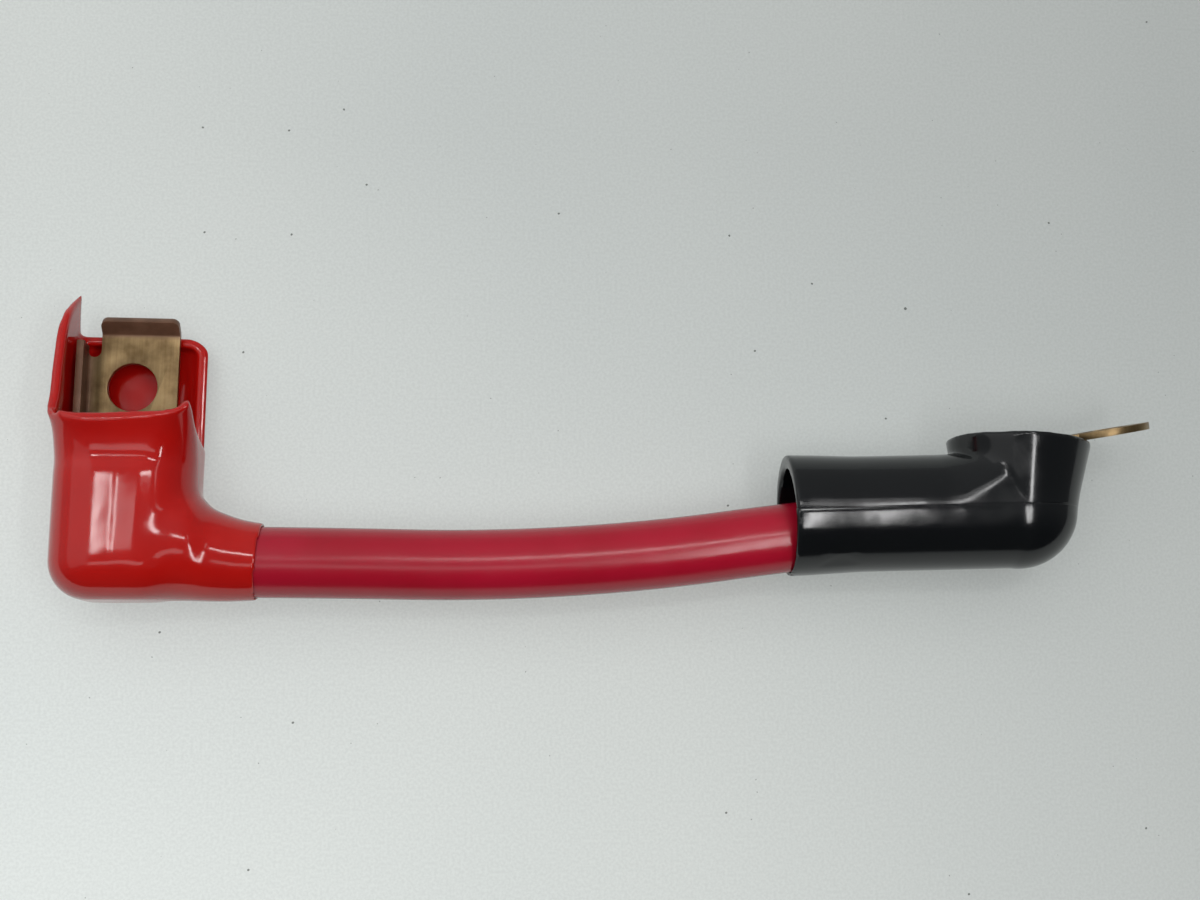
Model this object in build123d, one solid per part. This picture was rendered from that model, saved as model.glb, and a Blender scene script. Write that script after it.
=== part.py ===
# Short battery lead: a bent brass clamp terminal in a red elbow boot at one end,
# a ring terminal in a sliding black elbow boot at the other.
# Millimetres. +X runs along the lead to the ring terminal, both boots open towards +Y,
# and the lead lies on the XY plane with +Z up.
import os
from math import acos, asin, cos, degrees, radians, sin, tan
from build123d import *

os.makedirs("parts", exist_ok=True)

# ---------------------------------------------------------------- driving dimensions
# cable
jacket_diameter = 11.9          # over the insulation
conductor_diameter = 7.2        # over the seven bunches
conductor_clearance = 0.05      # radial, bunches to jacket and to barrels
bunch_gap = 0.05                # between neighbouring bunches
axis_height = 10.2              # cable axis above the floor at the red boot
plane_rise = 7.0                # tilt of the plane the cable bends in, degrees
route_points = [                # plan points of the cable axis, X and Y
    (-72.5, 0.0), (-46.0, 0.0), (-20.0, -0.35),
    (8.0, 1.55), (34.0, 5.35), (60.5, 8.3),
]
bend_share = 0.45               # of the shorter neighbouring run, used by each bend
bare_length_clamp = 15.2        # conductor beyond the jacket in the clamp's barrel
bare_length_ring = 14.4         # conductor beyond the jacket in the ring terminal's barrel

# sheet brass and the stud holes
sheet = 1.2                     # thickness of both terminals
stud_hole = 8.4                 # M8 clearance
seam_gap = 0.4                  # open butt seam of the rolled barrels

# clamp terminal
clamp_width = 16.4              # flange to plain edge, along X
clamp_end_reach = 39.1          # plate's end bend, Y
clamp_hole_reach = 30.15        # centre of the stud hole, Y
clamp_hole_inset = 7.6          # centre of the stud hole from the plate's plain edge
tab_width = 13.1
tab_length = 2.5
tab_turn = 50.0                 # degrees
tab_corner = 1.2
flange_height = 3.6
flange_start = 8.0              # down the plate from the barrel
flange_drop = 1.6               # the flange stops this much short of the end bend
bend_inside = 0.6               # inner radius of the sheet bends
notch_width = 2.3
notch_depth = 2.6
clamp_to_wall = 0.1             # flange to the inside of the boot
barrel_left_inset = 3.4         # barrel shorter than the plate, on the flange side
barrel_right_inset = 1.2

# red boot
red_wall = 1.7
body_lead = 18.9                # outer left side beyond the jacket's end
body_width = 23.3
body_depth = 20.0
body_low = -6.7                 # lower end, Y
body_top = 39.5                 # upper end of the low rim, Y
back_corner = 6.8
bottom_round = 6.5
# rows of Y, front beyond body_depth, left side beyond body_left, left and right front corner radii
body_sections = [
    (14.0, 0.0, 0.0, 8.0, 8.0), (15.0, -0.2, 0.0, 7.95, 7.75), (15.9, -0.33, 0.0, 7.85, 7.5),
    (17.2, -0.15, 0.0, 7.7, 7.1), (18.8, 0.3, 0.0, 7.4, 6.5), (20.4, 0.95, 0.0, 7.1, 5.6),
    (21.9, 1.85, 0.05, 6.7, 4.5), (23.3, 3.0, 0.3, 6.3, 3.3), (24.7, 4.4, 0.75, 6.0, 2.5),
]
rim_height = 4.5                # low rim above the floor
rim_corner = 4.6                # plan radius of the low rim's free corner
lip_line = [                    # plan of the front lip, X from the body's left side and Y
    (-4.6, 24.7), (0.4, 24.1), (3.4, 23.85), (8.4, 23.85), (13.4, 24.35),
    (16.9, 24.95), (19.9, 25.75), (22.4, 26.8), (26.4, 29.0),
]
lip_level = 20.2                # level of the lip's inner edge
lip_turn = 52.0                 # the lip's end face against upright, degrees
ramp_line = [                   # side view of the right side's cut, Y and Z
    (19.4, 4.5), (20.3, 9.5), (21.9, 16.0), (24.6, 20.2), (28.4, 24.0),
]
cheek_line = [                  # side view of the left side's edge, Y and Z
    (22.2, 24.0), (22.9, 19.6), (25.4, 16.35), (30.7, 15.1), (35.0, 14.2), (38.3, 13.3),
    (40.7, 12.0), (42.3, 10.8), (43.6, 9.3), (44.8, 7.7), (45.8, 6.2), (46.7, 4.9),
]
horn_reach = 47.0               # the horn's tip, Y
horn_low = 4.2                  # lower edge of the horn above the floor
horn_nib = 0.1                  # the tip stands this far above the lower edge
horn_seat = 0.7                 # lower edge inside the body, share of horn_low
horn_taper = [                  # plan of the horn's outer face, offset inwards and Y
    (0.0, 36.0), (0.1, 40.0), (0.55, 44.0), (1.35, 47.4),
]
cheek_depth = 2.6               # cheek and its front corner, from the outside of the left wall
cheek_open = 31.0               # from here up the cheek is a plain wall
cheek_root = 2.0                # round between the cheek and the low rim
collar_sections = [             # X from the body's right side, radius, axis Y
    (11.1, 6.4, 0.05), (7.6, 6.78, 0.25), (4.8, 7.28, 0.65), (2.3, 7.85, 1.2),
    (0.9, 8.6, 1.95), (-0.5, 9.2, 2.6), (-3.9, 9.55, 2.95), (-9.0, 9.7, 3.1),
]
collar_steps = 20               # short cones that make up the collar's swelling curve
collar_clearance = 0.05         # radial, boot to jacket
collar_cut = 4.0                # slant of the collar's mouth, degrees

# black boot
black_start = 31.8              # X of the tube's mouth
black_axis_y = 8.82             # tube axis at its mouth
black_slope = 1.6               # tube axis against X in plan, degrees
mouth_radius = 10.5
tube_radius = 10.05
tube_settle = 14.0              # from the mouth to where the tube runs even
tube_taper = 0.005              # slope of the tube's side at its mouth
cup_reach = 40.6                # tube's mouth to the cup's axis
cup_profile = [                 # radius and height over the tube axis, rim first
    (12.35, 12.0), (12.0, 10.2), (11.35, 7.0), (10.75, 4.0), (10.35, 1.5), (10.2, 0.0),
]
cup_wall = 1.9
bore_mouth_radius = 8.95
bore_mouth_drop = 0.95
bore_radius = 7.9
bore_settle = 28.0
cup_lean = 5.0                  # cup's axis against square to the tube, degrees
gusset_sections = [             # X from the cup's axis, corner radius of the tube's squared shoulders
    (-16.6, 9.95), (-10.6, 8.6), (-5.6, 5.6), (-1.1, 4.4),
]
gusset_inset = 0.03             # shoulders start this far inside the tube's round

# ring terminal
ring_start = 1.0                # barrel starts this far past the jacket
ring_barrel = 13.0
tongue_height = 12.45           # tongue's middle plane over the cable axis at the stud hole
neck_turn = 58.0
tongue_slope = 4.0              # against the barrel, degrees
neck_bend = 1.6                 # middle radius of the neck's bends
ring_roll = 0.0                 # about the cable axis, degrees
ring_outer = 15.8
ring_centre_reach = 29.4        # hole centre past the jacket's end, along the barrel
neck_width = 9.4
neck_root = 1.5                 # neck overlaps the barrel by this
neck_root_width = 6.4

# ---------------------------------------------------------------- frames and helpers
body_left = route_points[0][0] - body_lead
body_right = body_left + body_width
side_axis = (0, 1, 0)           # sketches on side planes run along Y, then Z
rise = tan(radians(plane_rise))


def side_plane(x, y=0.0, z=0.0):
    """Plane across X, sketched in Y and Z."""
    return Plane(origin=(x, y, z), x_dir=side_axis, z_dir=(1, 0, 0))


def on_cable_plane(x, y):
    """Point of the tilted cable plane above a plan point."""
    return Vector(x, y, axis_height + y * rise)


def closed_curve(points, corners):
    """Face between a spline through points and the straight lines through corners."""
    curve = Spline(*points)
    back = Polyline(curve @ 1, *corners, curve @ 0)
    return make_face([curve, back])


# ---------------------------------------------------------------- cable
route = [on_cable_plane(x, y) for x, y in route_points]
runs = [(b - a).length for a, b in zip(route, route[1:])]
radii = []
for i in range(1, len(route) - 1):
    before = (route[i] - route[i - 1]).normalized()
    after = (route[i + 1] - route[i]).normalized()
    turn = acos(before.dot(after))
    radii.append(bend_share * min(runs[i - 1], runs[i]) / tan(turn / 2))
print("cable bend radii", [round(r, 1) for r in radii], "runs", [round(r, 1) for r in runs])
centreline = FilletPolyline(*route, radius=radii)
print("cable centreline length", round(centreline.length, 2))

start_point = centreline @ 0
end_point = centreline @ 1
start_dir = centreline % 0
end_dir = centreline % 1
plane_normal = Vector(0, -sin(radians(plane_rise)), cos(radians(plane_rise)))


def section_plane(point, direction):
    """Plane across the cable, its x direction in the cable plane."""
    return Plane(origin=point, x_dir=plane_normal.cross(direction), z_dir=direction)


jacket_section = section_plane(start_point, start_dir)
jacket_face = Circle(jacket_diameter / 2) - Circle(conductor_diameter / 2 + conductor_clearance)
cable_jacket = sweep(jacket_section * jacket_face, path=centreline)

bare_start = Line(start_point - start_dir * bare_length_clamp, start_point)
bare_end = Line(end_point, end_point + end_dir * bare_length_ring)
conductor_path = Wire([*bare_start.edges(), *centreline.edges(), *bare_end.edges()])
bunch_radius = (conductor_diameter - 2 * bunch_gap) / 6
bunch_pitch = 2 * bunch_radius + bunch_gap
bunch_plane = section_plane(bare_start @ 0, start_dir)
conductor_core = sweep(bunch_plane * Circle(bunch_radius), path=conductor_path)
conductor_bunches = []
for k in range(6):
    angle = radians(60 * k + 30)
    at = Location((bunch_pitch * cos(angle), bunch_pitch * sin(angle), 0))
    conductor_bunches.append(sweep(bunch_plane * at * Circle(bunch_radius), path=conductor_path))

# ---------------------------------------------------------------- sheet-metal helpers
def bend_strip(centre, inner, start, turn):
    """Face of one sheet bend: inner radius, start direction and turn in degrees."""
    near = CenterArc(centre, inner, start, turn)
    far = CenterArc(centre, inner + sheet, start, turn)
    return make_face([near, far, Line(near @ 0, far @ 0), Line(near @ 1, far @ 1)])


def rect(x0, y0, x1, y1):
    return Polygon((x0, y0), (x1, y0), (x1, y1), (x0, y1), align=None)


# ---------------------------------------------------------------- clamp terminal
# own frame: x across the plate, y down the plate from the barrel, z off the plate's front
barrel_inner = conductor_diameter / 2 + conductor_clearance
barrel_outer = barrel_inner + sheet
barrel_centre = start_point - start_dir * bare_length_clamp / 2
front_y = barrel_centre.Y
front_z = barrel_centre.Z - barrel_inner
plate_left = body_left + red_wall + clamp_to_wall
plate_length = clamp_end_reach - front_y
hole_down = clamp_hole_reach - front_y
fold_radius = bend_inside + sheet
clamp_frame = Location((plate_left, front_y, front_z))
wrap = Location((0, barrel_inner)) * (Circle(barrel_outer) - Circle(barrel_inner))
wrap = wrap - rect(0, -2 * sheet, barrel_outer + sheet, seam_gap)
barrel_length = clamp_width - barrel_left_inset - barrel_right_inset
clamp = extrude(side_plane(barrel_left_inset) * wrap, barrel_length)
plate_side = rect(0, -sheet, plate_length, 0)
clamp = clamp + extrude(side_plane(fold_radius) * plate_side, clamp_width - fold_radius)
flange_run = plate_length - flange_drop - flange_start
across = Plane(origin=(0, flange_start, 0), x_dir=(1, 0, 0), z_dir=(0, -1, 0))
flange_side = bend_strip((fold_radius, bend_inside), bend_inside, 180, 90)
flange_side = flange_side + rect(0, bend_inside, sheet, flange_height)
clamp = clamp + extrude(across * flange_side, -flange_run)
tab_left = clamp_width - tab_width
tab_side = bend_strip((plate_length, bend_inside), bend_inside, -90, tab_turn)
tab_dir = Vector(cos(radians(tab_turn)), sin(radians(tab_turn)))
tab_in = Vector(plate_length, bend_inside) + Vector(tab_dir.Y, -tab_dir.X) * bend_inside
tab_out = Vector(plate_length, bend_inside) + Vector(tab_dir.Y, -tab_dir.X) * fold_radius
tab_ends = [tab_in, tab_out, tab_out + tab_dir * tab_length, tab_in + tab_dir * tab_length]
tab_side = tab_side + Polygon(*[(v.X, v.Y) for v in tab_ends], align=None)
tab = extrude(side_plane(tab_left) * tab_side, tab_width)
tab_face = tab.faces().sort_by(Axis.Y)[-1]
tab = fillet(tab_face.edges().filter_by(Axis.X, reverse=True), tab_corner)
clamp = clamp + tab
notch = rect(tab_left - notch_width, plate_length - notch_depth, tab_left, plate_length + sheet)
notch_end = Location((tab_left - notch_width / 2, plate_length - notch_depth))
notch = notch + notch_end * Circle(notch_width / 2)
clamp = clamp - extrude(notch, 2 * sheet, both=True)
hole_at = (clamp_width - clamp_hole_inset, hole_down)
clamp = clamp - extrude(Location(hole_at) * Circle(stud_hole / 2), 2 * sheet, both=True)
clamp_terminal = clamp_frame * clamp

# ---------------------------------------------------------------- ring terminal
# own frame: x along the barrel, y towards the tongue, z across the tongue
roll = radians(ring_roll)
ring_up = plane_normal.cross(end_dir)
ring_across = plane_normal * cos(roll) - ring_up * sin(roll)
ring_frame = Plane(origin=end_point, x_dir=end_dir, z_dir=ring_across)
barrel_end = ring_start + ring_barrel
ring_barrel_face = Circle(barrel_outer) - Circle(barrel_inner)
ring_barrel_face = ring_barrel_face - rect(-2 * barrel_outer, -seam_gap / 2, 0, seam_gap / 2)
ring_terminal = extrude(side_plane(ring_start) * ring_barrel_face, ring_barrel)
strip_level = barrel_inner + sheet / 2
neck_foot = barrel_end + neck_bend
slope = tan(radians(tongue_slope))
neck_head = neck_foot + (tongue_height - slope * ring_outer / 2 - strip_level) / tan(radians(neck_turn))
strip_end = ring_centre_reach + ring_outer
strip_line = FilletPolyline(
    (barrel_end - neck_root, strip_level),
    (neck_foot, strip_level),
    (neck_head, tongue_height - slope * (ring_centre_reach - neck_head)),
    (strip_end, tongue_height + slope * (strip_end - ring_centre_reach)),
    radius=neck_bend,
)
strip = extrude(trace(strip_line, sheet), ring_outer, both=True)
half_root = neck_root_width / 2
half_neck = neck_width / 2
outline = Polygon(
    (barrel_end - neck_root, -half_root),
    (neck_head, -half_neck),
    (ring_centre_reach, -half_neck),
    (ring_centre_reach, half_neck),
    (neck_head, half_neck),
    (barrel_end - neck_root, half_root),
    align=None,
)
outline = outline + Location((ring_centre_reach, 0)) * Circle(ring_outer / 2)
outline = outline - Location((ring_centre_reach, 0)) * Circle(stud_hole / 2)
above = Plane(origin=(0, 0, 0), x_dir=(1, 0, 0), z_dir=(0, -1, 0))
strip = strip & extrude(above * outline, -(tongue_height + 2 * sheet))
ring_terminal = ring_frame * (ring_terminal + strip)

# ---------------------------------------------------------------- red boot
def body_section(y, front, left, left_corner, right_corner, inset):
    """Cross-section of the upright body at height y, drawn in by inset."""
    x0 = body_left - left + inset
    x1 = body_right - inset
    z0 = inset
    z1 = body_depth + front - inset
    outline = rect(x0, z0, x1, z1)
    outline = fillet(outline.vertices().sort_by(Axis.Y)[2:].sort_by(Axis.X)[0], left_corner - inset)
    outline = fillet(outline.vertices().sort_by(Axis.X)[-2:].sort_by(Axis.Y)[-1], right_corner - inset)
    outline = fillet(outline.vertices().sort_by(Axis.Y)[:2], back_corner - inset)
    return Plane(origin=(0, y, 0), x_dir=(1, 0, 0), z_dir=(0, -1, 0)) * outline


def upright_body(inset):
    """The upright body of the red boot, drawn in by inset on every side."""
    sections = [body_section(*values, inset) for values in body_sections]
    first_y = body_sections[0][0]
    last_y = body_sections[-1][0]
    low = extrude(sections[0], first_y - body_low - inset)
    low = fillet(low.faces().sort_by(Axis.Y)[0].edges(), bottom_round - inset)
    high = extrude(sections[-1], last_y - (body_top - inset))
    body = low + loft(sections) + high
    corner_x = body_right - rim_corner
    corner_y = body_top - rim_corner
    corner = rect(corner_x, corner_y, corner_x + 2 * rim_corner, corner_y + 2 * rim_corner)
    corner = corner - Location((corner_x, corner_y)) * Circle(rim_corner - inset)
    return body - extrude(corner, 2 * body_depth, both=True)


def between(keys, x):
    """Smooth value list at x from rows of keys, each row starting with its own x (falling)."""
    for i in range(len(keys) - 1):
        if keys[i][0] >= x >= keys[i + 1][0]:
            break
    a, b = keys[i], keys[i + 1]
    before = keys[i - 1] if i else a
    after = keys[i + 2] if i + 2 < len(keys) else b
    t = (x - a[0]) / (b[0] - a[0])
    values = []
    for k in range(1, len(a)):
        slope_a = (b[k] - before[k]) / (b[0] - before[0]) * (b[0] - a[0])
        slope_b = (after[k] - a[k]) / (after[0] - a[0]) * (b[0] - a[0])
        values.append((2 * t**3 - 3 * t**2 + 1) * a[k] + (t**3 - 2 * t**2 + t) * slope_a
                      + (3 * t**2 - 2 * t**3) * b[k] + (t**3 - t**2) * slope_b)
    return values


def collar_form(inset):
    """The collar round the cable, swelling into the body."""
    bore = jacket_diameter / 2 + collar_clearance
    first = collar_sections[0][0]
    last = collar_sections[-1][0]
    rings = []
    for step in range(collar_steps + 1):
        x = first + (last - first) * step / collar_steps
        radius, y = between(collar_sections, x)
        if inset:
            inner = max(bore, radius - inset)
            y = y * (inner - bore) / inset if inner < bore + inset else y
            radius = inner
        rings.append(side_plane(body_right + x, y, axis_height) * Circle(radius))
    return loft(rings, ruled=True)


outer_form = upright_body(0) + collar_form(0)
inner_form = upright_body(red_wall) + collar_form(red_wall)
red_boot = outer_form - inner_form

# window: open front above the lip, low rim along the top and the right side
big = body_width + body_depth
cheek_outer = body_left - body_sections[-1][2]
cheek_inner = cheek_outer + red_wall
ramp = Spline(*ramp_line)
far_y = body_top + big
window_back = Polyline(ramp @ 1, ((ramp @ 1).X, big), (far_y, big), (far_y, rim_height), ramp @ 0)
window_side = make_face([ramp, window_back])
open_front = extrude(side_plane(cheek_outer + cheek_depth) * window_side, big)
rim_cut = Location((cheek_inner, ramp_line[-1][0], rim_height)) * Box(
    big, big, big, align=(Align.MIN, Align.MIN, Align.MIN))
rim_cut = fillet(rim_cut.edges().filter_by(Axis.Y).sort_by(Axis.X)[:2].sort_by(Axis.Z)[0], cheek_root)
rim_cut = rim_cut & (Location((cheek_inner, 0, 0)) * Box(
    big, 2 * big, body_depth - body_sections[0][3], align=(Align.MIN, Align.CENTER, Align.MIN)))
lip_points = [(body_left + x, y) for x, y in lip_line]
lip_face = closed_curve(lip_points, [(lip_points[-1][0], far_y), (lip_points[0][0], far_y)])
lip_out = (0, -sin(radians(lip_turn)), cos(radians(lip_turn)))
lip_cut = extrude(Plane.XY.offset(lip_level) * lip_face, big, dir=lip_out)
lip_cut = lip_cut + extrude(Plane.XY.offset(lip_level) * lip_face, -2 * red_wall)
cheek_far = [(far_y, cheek_line[-1][1]), (far_y, 2 * big), (cheek_line[0][0], 2 * big)]
cheek_cut = extrude(side_plane(cheek_outer - big) * closed_curve(cheek_line, cheek_far), big + cheek_depth)
end_cut = Location((cheek_inner, cheek_open, rim_height + cheek_root)) * Box(
    big, big, big, align=(Align.MIN, Align.MIN, Align.MIN))
red_boot = red_boot - open_front - rim_cut - end_cut - lip_cut - cheek_cut

# horn: the left side runs on past the low rim to a point
horn_top = [p for p in cheek_line if p[0] > body_top - 3 * red_wall]
horn_tip = (horn_reach, horn_low + horn_nib)
horn_curve = Spline(*horn_top, horn_tip)
horn_root = (body_top - red_wall, horn_seat * horn_low)
horn_back = Spline(horn_tip, (body_top + cheek_root, horn_low), horn_root)
horn_face = make_face([horn_curve, horn_back, Line(horn_back @ 1, horn_curve @ 0)])
horn = extrude(side_plane(cheek_outer) * horn_face, red_wall)
taper = [(cheek_outer + x, y) for x, y in horn_taper]
taper_far = [(taper[-1][0], far_y), (cheek_outer - big, far_y), (cheek_outer - big, taper[0][1])]
horn = horn - extrude(closed_curve(taper, taper_far), big)
red_boot = red_boot + horn

# slanted mouth of the collar, and the cable's own bore all the way in
mouth_x, mouth_r, mouth_y = collar_sections[0]
mouth_x = mouth_x + body_right
slant = radians(collar_cut)
mouth_cut = Plane(
    origin=(mouth_x - mouth_r * tan(slant), mouth_y, axis_height),
    x_dir=(sin(slant), cos(slant), 0),
    z_dir=(cos(slant), -sin(slant), 0),
)
red_boot = red_boot - extrude(mouth_cut * Rectangle(big, big), big)
cable_bore = sweep(jacket_section * Circle(jacket_diameter / 2 + collar_clearance), path=centreline)
red_boot = red_boot - cable_bore

# ---------------------------------------------------------------- black boot
# own frame: x along the tube from its mouth, y along the cup's axis
rim_radius, rim_level = cup_profile[0]
pitch = -degrees(asin((rim_radius - mouth_radius) / cup_reach))
boot_height = mouth_radius * cos(radians(pitch))
boot_place = Location((black_start, black_axis_y, boot_height)) * Rotation(0, 0, black_slope)
boot_place = boot_place * Rotation(0, pitch, 0)

tube_middle = (tube_settle / 2, (mouth_radius + tube_radius) / 2)
tube_ends = ((1, -tube_taper), (1, 0))
tube_line = Spline((0, mouth_radius), tube_middle, (tube_settle, tube_radius), tangents=tube_ends)
tube_half = make_face([
    tube_line,
    Line(tube_line @ 1, (cup_reach, tube_radius)),
    Line((cup_reach, tube_radius), (cup_reach, 0)),
    Line((cup_reach, 0), (0, 0)),
    Line((0, 0), tube_line @ 0),
])
tube = revolve(tube_half, Axis.X)


def cup_form(inset, raise_by):
    """Cup about its own upright axis, drawn in by inset, carried up past the rim by raise_by."""
    points = [(cup_reach + r - inset, h) for r, h in cup_profile]
    side = Spline(*points)
    low = points[-1]
    belly = CenterArc((cup_reach, low[1]), low[0] - cup_reach, 0, -90)
    top = points[0]
    edges = [side, belly, Line(belly @ 1, (cup_reach, top[1] + raise_by))]
    if raise_by:
        edges.append(Line((cup_reach, top[1] + raise_by), (top[0], top[1] + raise_by)))
        edges.append(Line((top[0], top[1] + raise_by), top))
    else:
        edges.append(Line((cup_reach, top[1]), top))
    return revolve(make_face(edges), Axis((cup_reach, 0, 0), (0, 1, 0)))


def gusset_section(x, corner):
    """Upper half of the tube's section, its near and far shoulders squared to a corner radius."""
    half = tube_radius - gusset_inset
    outline = rect(-half, 0, half, half)
    outline = fillet(outline.vertices().sort_by(Axis.Y)[2:], corner)
    return Plane(origin=(x, 0, 0), x_dir=(0, 0, -1), z_dir=(1, 0, 0)) * outline


gusset = loft([gusset_section(cup_reach + x, corner) for x, corner in gusset_sections])
cup_turn = Location((cup_reach, 0, 0)) * Rotation(0, 0, -cup_lean) * Location((-cup_reach, 0, 0))
cup = cup_turn * cup_form(0, 0)
bore_entry = side_plane(0, -bore_mouth_drop, 0) * Circle(bore_mouth_radius)
bore_inner = side_plane(bore_settle, 0, 0) * Circle(bore_radius)
bore = loft([bore_entry, bore_inner])
bore = bore + extrude(side_plane(bore_settle) * Circle(bore_radius), cup_reach - bore_settle)
black_boot = tube + gusset + cup - cup_turn * cup_form(cup_wall, sheet) - bore
black_boot = boot_place * black_boot

# ---------------------------------------------------------------- place and write
nodes = {
    "red_boot": [red_boot],
    "black_boot": [black_boot],
    "cable_jacket": [cable_jacket],
    "clamp_terminal": [clamp_terminal],
    "ring_terminal": [ring_terminal],
    "conductor_core": [conductor_core],
    "conductor_bunches": conductor_bunches,
}
everything = Compound(children=[s for group in nodes.values() for part in group for s in part.solids()])
box = everything.bounding_box()
centre = Location((-(box.min.X + box.max.X) / 2, -(box.min.Y + box.max.Y) / 2, -box.min.Z))
for name, group in nodes.items():
    solids = [centre * s for part in group for s in part.solids()]
    shape = solids[0] if len(solids) == 1 else Compound(children=solids)
    export_step(shape, f"parts/{name}.step")
    b = shape.bounding_box()
    print(name, len(solids), "solids", round(shape.volume, 1), "mm3",
          [round(v, 2) for v in b.min], [round(v, 2) for v in b.max])
print("assembly", [round(v, 2) for v in box.min], [round(v, 2) for v in box.max])
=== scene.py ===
# %% [markdown]
# # A short battery lead with two elbow boots
# The object is a battery cable for a vehicle. One end has a bent sheet-brass clamp terminal that lies in a
# red moulded boot, the other a ring terminal that stands in a black moulded boot. The solids come from the
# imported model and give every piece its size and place. This lesson dresses them: soft rounded edges on the
# moulded boots, small broken edges on the brass, a smooth bent cable, and a material for each finish. Places
# are in millimetres and turned into the scene's metres by MM.

# %% Load the frame
import math
import bpy
from mathutils import Matrix, Vector, geometry


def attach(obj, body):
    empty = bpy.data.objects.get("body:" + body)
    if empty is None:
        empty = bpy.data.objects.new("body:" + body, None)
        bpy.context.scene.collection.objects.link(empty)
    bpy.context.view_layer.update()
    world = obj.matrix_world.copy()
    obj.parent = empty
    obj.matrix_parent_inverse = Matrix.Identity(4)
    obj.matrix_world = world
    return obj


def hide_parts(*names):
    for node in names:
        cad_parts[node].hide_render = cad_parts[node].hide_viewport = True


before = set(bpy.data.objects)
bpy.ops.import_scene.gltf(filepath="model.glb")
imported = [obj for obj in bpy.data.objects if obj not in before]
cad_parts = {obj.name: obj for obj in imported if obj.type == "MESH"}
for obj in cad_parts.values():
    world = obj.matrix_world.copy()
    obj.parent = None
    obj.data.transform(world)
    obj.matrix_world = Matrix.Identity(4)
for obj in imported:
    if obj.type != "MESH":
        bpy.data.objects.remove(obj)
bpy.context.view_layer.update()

MM = 0.001
print("nodes:", sorted(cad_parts))

# %% [markdown]
# ## Camera
# The lead lies flat and is looked at from above, a little from the front left. The camera is a pinhole
# 260 mm above the surface, so near things look larger, as the tall front of the red boot does. It leans a
# little about Y and tilts about X, from looking straight down.

# %% Camera
camera_data = bpy.data.cameras.new("camera")
camera_data.sensor_width = 36.0
camera_data.lens = 44.25
camera = bpy.data.objects.new("camera", camera_data)
CAMERA_PLACE = Vector((-26.06, -42.86, 260.5))
lean = Matrix.Rotation(math.radians(-5.346), 4, "Y")
tilt = Matrix.Rotation(math.radians(9.62), 4, "X")
camera.matrix_world = Matrix.Translation(CAMERA_PLACE * MM) @ lean @ tilt
bpy.context.scene.collection.objects.link(camera)
bpy.context.scene.camera = camera
print("camera at", [round(v, 4) for v in camera.location])

# %% [markdown]
# ## Helpers for finishes
# A hex colour is what one reads from a colour chart, while shader sockets hold linear light, so one function
# turns one into the other. Another adds a node, sets what it is given and links its inputs.


# %% Colour and node helpers
def colour(code):
    """Linear RGBA of an sRGB hex colour."""
    channels = [int(code[i:i + 2], 16) / 255 for i in (1, 3, 5)]
    linear = [c / 12.92 if c <= 0.04045 else ((c + 0.055) / 1.055) ** 2.4 for c in channels]
    return (*linear, 1.0)


def add(tree, kind, settings=None, links=None, values=None):
    """A node of one kind, with its settings, input values and input links."""
    node = tree.nodes.new(kind)
    for key, value in (settings or {}).items():
        setattr(node, key, value)
    for key, value in (values or {}).items():
        node.inputs[key].default_value = value
    for key, source in (links or {}).items():
        tree.links.new(source, node.inputs[key])
    return node


def ramp(tree, factor, stops):
    """A colour ramp through (position, hex colour) stops."""
    node = add(tree, "ShaderNodeValToRGB", links={"Fac": factor})
    elements = node.color_ramp.elements
    while len(elements) < len(stops):
        elements.new(0.5)
    for element, (position, code) in zip(elements, stops):
        element.position = position
        element.color = colour(code)
    return node.outputs["Color"]


def new_material(name, **sockets):
    """A material with a Principled shader, its constant values set on the shader's own sockets."""
    material = bpy.data.materials.new(name)
    material.use_nodes = True
    shader = material.node_tree.nodes["Principled BSDF"]
    for key, value in sockets.items():
        shader.inputs[key.replace("_", " ")].default_value = value
    return material, material.node_tree, shader


def scaled(tree, size_mm, stretch=(1, 1, 1)):
    """Object coordinates scaled so that one pattern cell is size_mm across."""
    place = add(tree, "ShaderNodeTexCoord")
    factor = 1 / (size_mm * MM)
    mapping = add(tree, "ShaderNodeMapping", links={"Vector": place.outputs["Object"]})
    mapping.inputs["Scale"].default_value = [factor / s for s in stretch]
    return mapping.outputs["Vector"]


def noise(tree, size_mm, detail=3.0, stretch=(1, 1, 1), roughness=0.5):
    """Fractal noise whose largest blobs are size_mm across."""
    node = add(tree, "ShaderNodeTexNoise", links={"Vector": scaled(tree, size_mm, stretch)},
               values={"Scale": 1.0, "Detail": detail, "Roughness": roughness})
    return node.outputs["Fac"]


def remap(tree, value, low, high, to_low, to_high):
    """Value from one range to another, held at its ends."""
    node = add(tree, "ShaderNodeMapRange", links={"Value": value},
               values={"From Min": low, "From Max": high, "To Min": to_low, "To Max": to_high})
    return node.outputs["Result"]


def bump(tree, shader, layers):
    """Layers of (height output, depth in mm) chained into the shader's normal."""
    normal = None
    for height, depth in layers:
        node = add(tree, "ShaderNodeBump", links={"Height": height}, values={"Distance": depth * MM})
        if normal is not None:
            tree.links.new(normal, node.inputs["Normal"])
        normal = node.outputs["Normal"]
    tree.links.new(normal, shader.inputs["Normal"])


print("white is", colour("#ffffff"), "and mid grey is", [round(v, 3) for v in colour("#808080")])

# %% [markdown]
# ## Red boot finish: plasticised PVC, injection moulded and glossy
# A terminal boot is soft PVC. The mould is polished, so the skin is glossy, but the wall shrinks a little
# unevenly as it cools, which makes long soft waves that break the highlights. Handling dulls it in places,
# so the roughness wanders.

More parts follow.
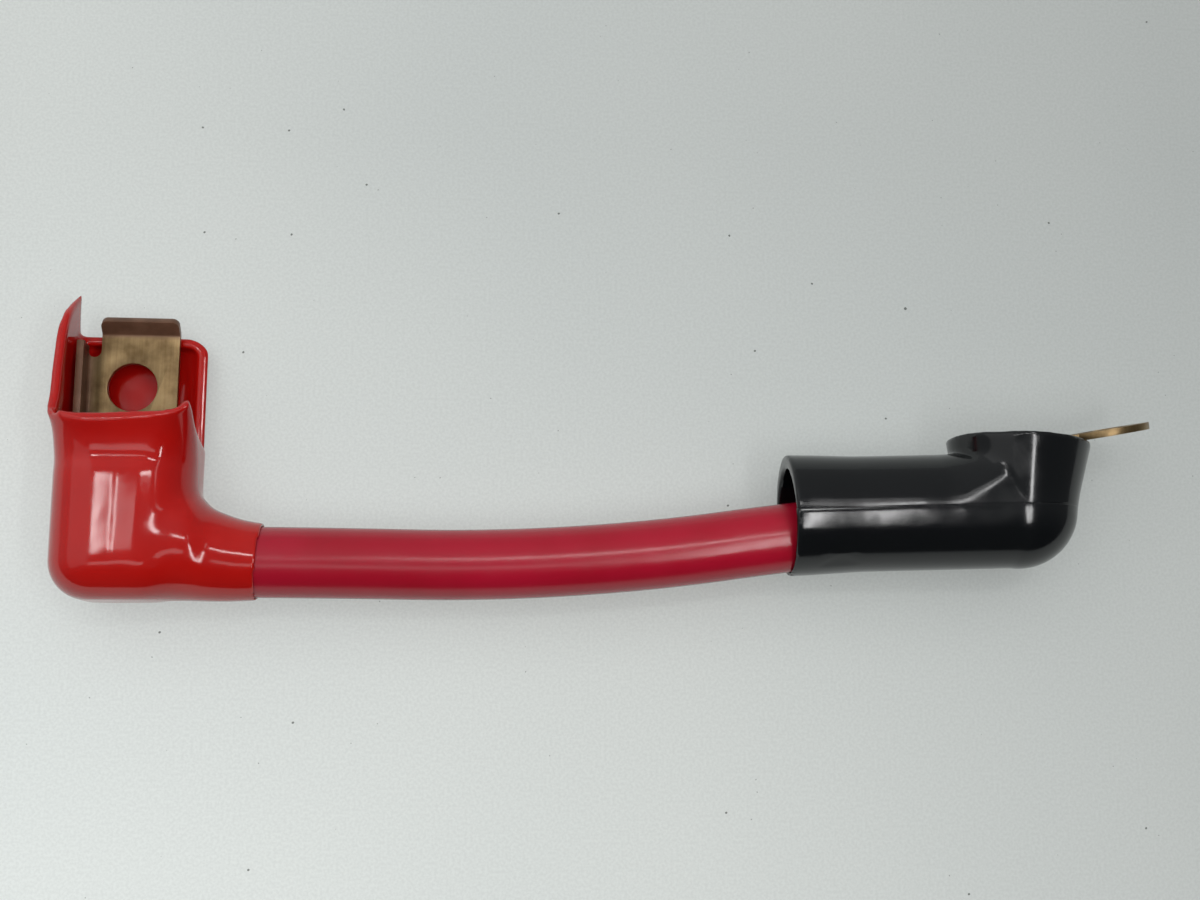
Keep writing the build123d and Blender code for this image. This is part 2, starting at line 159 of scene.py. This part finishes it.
# %% Red PVC
red_pvc, tree, shader = new_material("red plasticised PVC, moulded glossy", IOR=1.53)
blotch = noise(tree, 9.0, 3.0)
tone = ramp(tree, blotch, [(0.3, "#a90d09"), (0.7, "#b3120c")])
tree.links.new(tone, shader.inputs["Base Color"])
tree.links.new(remap(tree, noise(tree, 4.0, 4.0), 0.35, 0.7, 0.08, 0.13), shader.inputs["Roughness"])
bump(tree, shader, [(noise(tree, 9.0, 2.0), 0.11), (noise(tree, 0.35, 2.0), 0.0008)])
print(red_pvc.name, "has", len(tree.nodes), "nodes")

# %% [markdown]
# ## Cable finish: extruded PVC insulation
# Insulation is drawn through a die, so its marks run along the cable: faint lines a few tenths of a
# millimetre apart, and a satin gloss. The curve's own UV map runs along it, so the lines follow every bend.

# %% Crimson insulation
crimson_pvc, tree, shader = new_material("crimson PVC insulation, extruded", IOR=1.52)
place = add(tree, "ShaderNodeTexCoord")
along = add(tree, "ShaderNodeMapping", links={"Vector": place.outputs["UV"]})
along.inputs["Scale"].default_value = (6.0, 60.0, 1.0)
die_lines = add(tree, "ShaderNodeTexNoise", links={"Vector": along.outputs["Vector"]},
                values={"Scale": 1.0, "Detail": 2.0}).outputs["Fac"]
tone = ramp(tree, noise(tree, 14.0, 2.0), [(0.3, "#9c0a22"), (0.7, "#a60d29")])
tree.links.new(tone, shader.inputs["Base Color"])
tree.links.new(remap(tree, noise(tree, 3.0, 4.0), 0.3, 0.7, 0.2, 0.27), shader.inputs["Roughness"])
bump(tree, shader, [(die_lines, 0.003), (noise(tree, 0.5, 2.0), 0.002)])
print(crimson_pvc.name, "has", len(tree.nodes), "nodes")

# %% [markdown]
# ## Black boot finish: plasticised PVC, injection moulded, semi-gloss
# The same soft PVC with carbon black. Rubbing shows on black first: short hairline scuffs and grey dust.
# A fine line runs round the boot where the halves of its mould met.

# %% Black PVC
BOOT_MOUTH = Vector((29.78, -11.33, 10.49))
PARTING_NORMAL = Vector((-0.0279, 0.9996, 0.0))
black_pvc, tree, shader = new_material("black plasticised PVC, moulded semi-gloss", IOR=1.5)
dust = remap(tree, noise(tree, 0.5, 2.0), 0.68, 0.8, 0.0, 1.0)
tone = ramp(tree, dust, [(0.0, "#0b0d0f"), (1.0, "#191b1d")])
tree.links.new(tone, shader.inputs["Base Color"])
tree.links.new(remap(tree, noise(tree, 3.0, 4.0), 0.3, 0.7, 0.1, 0.17), shader.inputs["Roughness"])
scuffs = noise(tree, 0.6, 3.0, stretch=(9, 1, 1))
place = add(tree, "ShaderNodeTexCoord")
level = add(tree, "ShaderNodeVectorMath", {"operation": "DOT_PRODUCT"}, links={0: place.outputs["Object"]})
level.inputs[1].default_value = PARTING_NORMAL
off_line = add(tree, "ShaderNodeMath", {"operation": "SUBTRACT"}, links={0: level.outputs["Value"]},
               values={1: PARTING_NORMAL.dot(BOOT_MOUTH) * MM})
distance = add(tree, "ShaderNodeMath", {"operation": "ABSOLUTE"}, links={0: off_line.outputs["Value"]})
parting = remap(tree, distance.outputs["Value"], 0.04 * MM, 0.16 * MM, 0.0, 1.0)
bump(tree, shader, [(noise(tree, 12.0, 1.0), 0.05), (scuffs, 0.0004), (parting, 0.06)])
print(black_pvc.name, "has", len(tree.nodes), "nodes")

# %% [markdown]
# ## Terminal finish: rolled sheet brass, blanked and bent
# Sheet brass carries fine rolling lines along the strip. It dulls unevenly where fingers touched it. The side
# flange and the end tab are painted a darker brown and made less metallic, as painted shade.

# %% Sheet brass
sheet_brass, tree, shader = new_material("sheet brass, rolled and tarnished")
rolling = noise(tree, 0.35, 3.0, stretch=(1, 30, 1))
tarnish = noise(tree, 5.0, 5.0, roughness=0.6)
worn = ramp(tree, tarnish, [(0.35, "#7f6849"), (0.5, "#957d5a"), (0.68, "#a48c67")])
rolled = ramp(tree, rolling, [(0.3, "#dedad4"), (0.6, "#ffffff")])
streaked = add(tree, "ShaderNodeMix", {"data_type": "RGBA", "blend_type": "MULTIPLY"},
               links={6: worn, 7: rolled}, values={0: 0.6})
place = add(tree, "ShaderNodeTexCoord")
parts = add(tree, "ShaderNodeSeparateXYZ", links={"Vector": place.outputs["Object"]})
# Painted shade: the side flange and the end tab are painted darker brown and made less metallic.
flange = remap(tree, parts.outputs["X"], -0.0902, -0.0888, 1.0, 0.0)
tab = remap(tree, parts.outputs["Y"], 0.0184, 0.0192, 0.0, 1.0)
painted_shade = add(tree, "ShaderNodeMath", {"operation": "MAXIMUM"}, links={0: flange, 1: tab}).outputs["Value"]
shaded_brass = add(tree, "ShaderNodeMix", {"data_type": "RGBA"}, links={0: painted_shade, 6: streaked.outputs[2]})
shade_brown = ramp(tree, tarnish, [(0.35, "#614433"), (0.65, "#795845")])
tree.links.new(shade_brown, shaded_brass.inputs[7])
tree.links.new(shaded_brass.outputs[2], shader.inputs["Base Color"])
tree.links.new(remap(tree, painted_shade, 0.0, 1.0, 1.0, 0.35), shader.inputs["Metallic"])
tree.links.new(remap(tree, tarnish, 0.3, 0.7, 0.46, 0.3), shader.inputs["Roughness"])
bump(tree, shader, [(rolling, 0.004), (noise(tree, 2.5, 2.0), 0.01)])
print(sheet_brass.name, "has", len(tree.nodes), "nodes")

# %% [markdown]
# ## Conductor finish: bare copper strands
# The conductor is fine bare copper wire, laid in bunches. Only its ends show, deep in the barrels.

# %% Copper strand
copper, tree, shader = new_material("bare copper strand, drawn", Metallic=1.0)
strands = add(tree, "ShaderNodeTexVoronoi", links={"Vector": scaled(tree, 0.45, (12, 1, 1))},
              values={"Scale": 1.0}).outputs["Distance"]
tree.links.new(ramp(tree, strands, [(0.2, "#c07a55"), (0.7, "#5c3322")]), shader.inputs["Base Color"])
tree.links.new(remap(tree, noise(tree, 1.0, 3.0), 0.3, 0.7, 0.32, 0.45), shader.inputs["Roughness"])
bump(tree, shader, [(strands, -0.08)])
for name in ("conductor_core", "conductor_bunches"):
    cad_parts[name].data.materials.clear()
    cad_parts[name].data.materials.append(copper)
print(copper.name, "is on both conductor nodes")

# %% [markdown]
# ## Soft moulded boots
# A moulded boot has no sharp edge anywhere. The solid's triangles are copied and merged, and a voxel remesh
# gives even small faces all over, which smoothing passes then round. Between two remeshes the faces are moved
# a little along their normals, for a bead, a crown or a step in the skin.


# %% Copy of a solid, and the rounded boot
def copy_of(node, name):
    """A merged copy of a CAD node's mesh, as an object of its own at the origin."""
    bpy.ops.object.select_all(action="DESELECT")
    piece = bpy.data.objects.new(name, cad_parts[node].data.copy())
    bpy.context.scene.collection.objects.link(piece)
    bpy.context.view_layer.objects.active = piece
    piece.select_set(True)
    bpy.ops.object.mode_set(mode="EDIT")
    bpy.ops.mesh.select_all(action="SELECT")
    bpy.ops.mesh.remove_doubles(threshold=0.00001)
    bpy.ops.object.mode_set(mode="OBJECT")
    return piece


def apply(modifier):
    """Applies a modifier of the active object."""
    bpy.ops.object.modifier_apply(modifier=modifier.name)


def soften(piece, voxel_mm, passes):
    """Even faces of one size, then smoothing passes that round every edge."""
    remesh = piece.modifiers.new("even faces", "REMESH")
    remesh.mode = "VOXEL"
    remesh.voxel_size = voxel_mm * MM
    remesh.use_smooth_shade = True
    apply(remesh)
    smooth = piece.modifiers.new("rounding", "SMOOTH")
    smooth.factor = 0.5
    smooth.iterations = passes
    apply(smooth)
    return piece


def swell(piece, height):
    """Moves each vertex along its normal by height(point in mm), in mm."""
    moves = [(v, v.normal * height(v.co / MM) * MM) for v in piece.data.vertices]
    for vertex, move in moves:
        vertex.co += move
    piece.data.update()
    return piece


def smooth_near(piece, distance, reach_mm, passes):
    """Smooths most where distance(point in mm) is small, and fades out by reach_mm."""
    group = piece.vertex_groups.new(name="blend")
    for vertex in piece.data.vertices:
        t = 1 - distance(vertex.co / MM) / reach_mm
        if t > 0:
            group.add([vertex.index], t * t * (3 - 2 * t), "REPLACE")
    smooth = piece.modifiers.new("blend", "SMOOTH")
    smooth.factor = 0.5
    smooth.iterations = passes
    smooth.vertex_group = group.name
    apply(smooth)
    piece.vertex_groups.clear()
    return piece


def dress(piece, material, slot, body, *nodes):
    """Gives a piece its material and lets it stand for its CAD nodes. The slot is not used."""
    piece.data.materials.clear()
    piece.data.materials.append(material)
    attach(piece, body)
    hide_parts(*nodes)
    if piece.type == "MESH":
        print(piece.name, "has", sum(len(p.vertices) - 2 for p in piece.data.polygons), "triangles")


# %% [markdown]
# ## Red boot
# The front's lip ends in a bead. The front face isn't quite flat: a moulded face bulges by a fraction of a
# millimetre, and that crown is what gathers a lamp's mirror image into one long streak.

# %% Red boot
COLLAR_ROOT = Vector((-73.5, -17.2, 10.2))
COLLAR_ROOT_RADIUS = 9.6
SHIFT = Vector((-2.0177, -20.15, 0.0))
BODY_LEFT = -93.42
LIP_LEVEL = 20.7
LIP_DROP = 0.6
LIP_LINE = [
    (0.4, 24.1), (3.4, 23.85), (8.4, 23.85), (13.4, 24.35), (16.9, 24.95), (19.9, 25.75), (22.4, 26.8),
]
LIP_ROOT = Vector((-91.4, 2.6, 22.2))
BEAD_HEIGHT, BEAD_REACH = 0.3, 1.7
FRONT_LEVEL = 15.0
CROWN_MIDDLE, CROWN_HALF, CROWN_RADIUS = -81.8, 4.2, 75.0
CROWN_TAIL_LEFT, CROWN_TAIL_RIGHT = 1.8, 4.0
lip = [Vector((BODY_LEFT + x, y + SHIFT.y - LIP_DROP, LIP_LEVEL)) for x, y in LIP_LINE]


def from_collar_root(point):
    """Distance to the ring where the collar grows out of the body."""
    offset = point - COLLAR_ROOT
    return math.hypot(offset.x, math.hypot(offset.y, offset.z) - COLLAR_ROOT_RADIUS)


def to_segment(point, start, end):
    """Distance from a point to the stretch between start and end."""
    foot, share = geometry.intersect_point_line(point, start, end)
    if share < 0:
        foot = start
    elif share > 1:
        foot = end
    return (point - foot).length


def lip_bead(point):
    """Swelling round the lip's line, so that the lip ends in a bead."""
    if point.z < LIP_LEVEL - 3.7 or point.y < 1:
        return 0.0
    nearest = min(to_segment(point, a, b) for a, b in zip(lip, lip[1:]))
    return BEAD_HEIGHT * max(0.0, 1 - (nearest / BEAD_REACH) ** 2)


def eased(value, low, high):
    """0 below low, 1 above high, and a smooth step between them."""
    t = min(1.0, max(0.0, (value - low) / (high - low)))
    return t * t * (3 - 2 * t)


def crown(point):
    """Gentle crown of the front face, which runs out in the roundings beside it."""
    if point.z < FRONT_LEVEL:
        return 0.0
    across = abs(point.x - CROWN_MIDDLE)
    tail = CROWN_TAIL_LEFT if point.x < CROWN_MIDDLE else CROWN_TAIL_RIGHT
    slope = CROWN_HALF / CROWN_RADIUS
    if across < CROWN_HALF:
        height = (CROWN_HALF ** 2 - across ** 2) / (2 * CROWN_RADIUS) + slope * tail / 2
    else:
        height = slope * max(0.0, tail - (across - CROWN_HALF)) ** 2 / (2 * tail)
    return height * eased(point.y, -25.5, -19.0) * eased(-point.y, 2.5, 8.0)


red_boot = soften(copy_of("red_boot", "red_boot_skin"), 0.2, 20)
swell(red_boot, lip_bead)
swell(red_boot, crown)
soften(red_boot, 0.33, 3)
smooth_near(red_boot, from_collar_root, 9.0, 160)
for corner, reach in ((lip[-1], 3.0), (lip[0], 4.0), (LIP_ROOT, 4.5)):
    smooth_near(red_boot, lambda point: (point - corner).length, reach, 100)
dress(red_boot, red_pvc, "red_pvc", "lead", "red_boot")

# %% [markdown]
# ## Black boot
# Where the mould's halves met, the skin has a low step, which fades away from the mouth. The ridge where the
# tube squares up towards the cup is rubbed down.

# %% Black boot
STEP_HEIGHT, STEP_LENGTH = 0.12, 20.0
STEP_WIDTH, STEP_RUN_OUT = 0.15, 4.0
SHOULDER = (Vector((55.3, -9.6, 21.7)), Vector((65.0, -0.8, 21.6)))


def parting_step(point):
    """Low step where the mould's halves met, highest at the boot's mouth."""
    level = (point - BOOT_MOUTH).dot(PARTING_NORMAL)
    fade = max(0.0, 1 - (point.x - BOOT_MOUTH.x) / STEP_LENGTH)
    rise = 1 / (1 + math.exp(-level / STEP_WIDTH))
    return -STEP_HEIGHT * fade * rise * math.exp(-max(0.0, level) / STEP_RUN_OUT)


black_boot = soften(copy_of("black_boot", "black_boot_skin"), 0.2, 12)
swell(black_boot, parting_step)
soften(black_boot, 0.33, 2)
smooth_near(black_boot, lambda point: to_segment(point, *SHOULDER), 4.5, 120)
dress(black_boot, black_pvc, "black_pvc", "sliding_boot", "black_boot")

# %% [markdown]
# ## Brass terminals
# Each terminal is blanked from strip and bent. A press leaves a tiny roll on one side and a torn edge on the
# other, so no edge is razor sharp. A narrow bevel on the copied solid gives each edge its own thin highlight.


# %% Broken edges
def break_edges(piece, width_mm):
    """Merges flat neighbours, then bevels every edge that turns by more than 35 degrees."""
    bpy.ops.object.mode_set(mode="EDIT")
    bpy.ops.mesh.select_all(action="SELECT")
    bpy.ops.mesh.dissolve_limited(angle_limit=math.radians(0.5))
    bpy.ops.object.mode_set(mode="OBJECT")
    bevel = piece.modifiers.new("broken edges", "BEVEL")
    bevel.width = width_mm * MM
    bevel.segments = 2
    bevel.limit_method = "ANGLE"
    bevel.angle_limit = math.radians(35)
    apply(bevel)
    bpy.ops.object.shade_smooth_by_angle(angle=math.radians(35))
    return piece


clamp_terminal = break_edges(copy_of("clamp_terminal", "clamp_terminal_sheet"), 0.12)
dress(clamp_terminal, sheet_brass, "sheet_brass", "lead", "clamp_terminal")
ring_terminal = break_edges(copy_of("ring_terminal", "ring_terminal_sheet"), 0.12)
dress(ring_terminal, sheet_brass, "sheet_brass", "lead", "ring_terminal")

# %% [markdown]
# ## Cable
# A battery cable of this thickness is stiff. It leaves the red boot straight and bends in one long shallow
# curve. It is one NURBS spline along the route's points with a round bevel, so its line is smooth.

# %% Cable
CABLE_DIAMETER = 11.9
AXIS_HEIGHT = 10.2
RISE = math.tan(math.radians(7.0))
route = [(-72.5, 0.0), (-46.0, 0.0), (-20.0, -0.35), (8.0, 1.55), (34.0, 5.35), (60.5, 8.3)]
curve = bpy.data.curves.new("cable_jacket_skin", "CURVE")
curve.dimensions = "3D"
spline = curve.splines.new("NURBS")
spline.points.add(len(route) - 1)
for point, (x, y) in zip(spline.points, route):
    point.co = (*((Vector((x, y, AXIS_HEIGHT + y * RISE)) + SHIFT) * MM), 1.0)
spline.order_u = 3
spline.use_endpoint_u = True
spline.resolution_u = 24
curve.bevel_depth = CABLE_DIAMETER / 2 * MM
curve.bevel_resolution = 12
curve.use_fill_caps = True
cable = bpy.data.objects.new("cable_jacket_skin", curve)
bpy.context.scene.collection.objects.link(cable)
dress(cable, crimson_pvc, "crimson_insulation", "lead", "cable_jacket")
print("cable of", CABLE_DIAMETER, "mm along", len(route), "points")

# %% [markdown]
# ## Paper and light
# The lead lies on pale paper. The paper glows a little where it is seen, straight or in a mirror, and adds
# no light of its own to the object. The glow is painted light, brightest at the front left.


# %% Floor
bpy.ops.object.select_all(action="DESELECT")
bpy.ops.mesh.primitive_plane_add(size=4.0, location=(0, 0, 0))
floor = bpy.context.active_object
floor.name = "paper_floor"
paper, tree, shader = new_material("pale paper, uncoated", Roughness=0.9)
tone = ramp(tree, noise(tree, 160.0, 2.0), [(0.3, "#c6cbc9"), (0.7, "#ced2cf")])
grain = ramp(tree, noise(tree, 0.5, 2.0), [(0.35, "#f6f6f6"), (0.65, "#ffffff")])
fleck = ramp(tree, noise(tree, 1.1, 0.0), [(0.875, "#ffffff"), (0.9, "#8d8f8d")])
grained = add(tree, "ShaderNodeMix", {"data_type": "RGBA", "blend_type": "MULTIPLY"},
              links={6: tone, 7: grain}, values={0: 1.0})
flecked = add(tree, "ShaderNodeMix", {"data_type": "RGBA", "blend_type": "MULTIPLY"},
              links={6: grained.outputs[2], 7: fleck}, values={0: 1.0})
LIT_SHARE = 0.56
shade = add(tree, "ShaderNodeMix", {"data_type": "RGBA", "blend_type": "MULTIPLY"},
            links={6: flecked.outputs[2]}, values={0: 1.0})
shade.inputs[7].default_value = (LIT_SHARE, LIT_SHARE, LIT_SHARE, 1.0)
tree.links.new(shade.outputs[2], shader.inputs["Base Color"])
tree.links.new(flecked.outputs[2], shader.inputs["Emission Color"])
rays = add(tree, "ShaderNodeLightPath")
place = add(tree, "ShaderNodeTexCoord")
parts = add(tree, "ShaderNodeSeparateXYZ", links={"Vector": place.outputs["Object"]})
# Painted light: the paper's glow is brighter towards the front left.
painted_glow = remap(tree, parts.outputs["X"], -0.10, 0.11, 0.66, 0.24)
for factor in (remap(tree, parts.outputs["Y"], -0.10, 0.06, 1.3, 0.8),
               remap(tree, rays.outputs["Is Diffuse Ray"], 0.0, 1.0, 1.0, 0.0)):
    product = add(tree, "ShaderNodeMath", {"operation": "MULTIPLY"}, links={0: painted_glow, 1: factor})
    painted_glow = product.outputs["Value"]
tree.links.new(painted_glow, shader.inputs["Emission Strength"])
bump(tree, shader, [(noise(tree, 0.8, 3.0), 0.02)])
floor.data.materials.append(paper)
print("floor is", floor.dimensions[:2])


# %% [markdown]
# ## Lamps
# The glossy skins show the lamps as in a mirror, so each lamp has a task. The long tube draws the fine line
# on the cable, the short tube the streak on the red boot, and the soft panels the pale area beside it. The
# dim panel draws the band at the red boot's lower edge and the window strips the band on the black boot. The
# ceiling lights everything softly and shows in no mirror.


# %% Lamps
def area_lamp(name, place_mm, size_mm, radiance, turn_deg=0.0, aim_mm=None):
    """A rectangular lamp that faces down or to its aim, its first side turned from X by turn_deg."""
    data = bpy.data.lights.new(name, "AREA")
    data.shape = "RECTANGLE"
    data.size = size_mm[0] * MM
    data.size_y = size_mm[1] * MM
    data.energy = radiance * math.pi * data.size * data.size_y
    lamp = bpy.data.objects.new(name, data)
    place = Vector(place_mm) * MM
    aim = Vector(aim_mm) * MM if aim_mm else Vector((place.x, place.y, 0.0))
    back = (place - aim).normalized()
    across = (Vector((1, 0, 0)) - back * back.x).normalized()
    upward = back.cross(across)
    turn = Matrix((across, upward, back)).transposed().to_4x4()
    spin = Matrix.Rotation(math.radians(turn_deg), 4, "Z")
    lamp.matrix_world = Matrix.Translation(place) @ turn @ spin
    lamp.visible_camera = False
    bpy.context.scene.collection.objects.link(lamp)
    return lamp


TUBE_HEIGHT = 1000
STRIP_HEIGHT = 350
area_lamp("long tube", (115, 205, TUBE_HEIGHT), (340, 60), 13)
area_lamp("dim panel", (-150, -310, TUBE_HEIGHT), (600, 140), 1.4)
area_lamp("short tube", (-395, 117, TUBE_HEIGHT), (140, 66), 11, 64)
area_lamp("soft panel", (-255, 92, TUBE_HEIGHT), (220, 65), 2.2)
area_lamp("upper soft panel", (-315, 155, TUBE_HEIGHT), (90, 62), 1.3)
area_lamp("window strip", (106, -105, STRIP_HEIGHT), (24, 190), 16)
area_lamp("upper window strip", (114, 85, STRIP_HEIGHT), (22, 80), 2)
area_lamp("left wall", (-1000, 200, 1000), (1000, 1500), 0.35, aim_mm=(0, 0, 0))
fill = area_lamp("ceiling", (0, 300, 2000), (3200, 3200), 1.0, aim_mm=(0, 100, 0))
fill.visible_glossy = False

# %% [markdown]
# ## Air
# The room is dark towards the viewer and lighter behind and to the left, as the sides of the boots show it.

# %% World
world = bpy.data.worlds.new("studio")
bpy.context.scene.world = world
world.use_nodes = True
tree = world.node_tree
background = tree.nodes["Background"]
place = add(tree, "ShaderNodeTexCoord")
parts = add(tree, "ShaderNodeSeparateXYZ", links={"Vector": place.outputs["Generated"]})
away = remap(tree, parts.outputs["Y"], -0.6, 0.5, 0.08, 0.45)
aside = remap(tree, parts.outputs["X"], -0.5, 0.5, 1.25, 0.5)
brightness = add(tree, "ShaderNodeMath", {"operation": "MULTIPLY"}, links={0: away, 1: aside})
tree.links.new(brightness.outputs["Value"], background.inputs["Strength"])
background.inputs["Color"].default_value = colour("#f2f5f5")
bpy.context.scene.view_settings.view_transform = "Standard"
print("view transform:", bpy.context.scene.view_settings.view_transform)
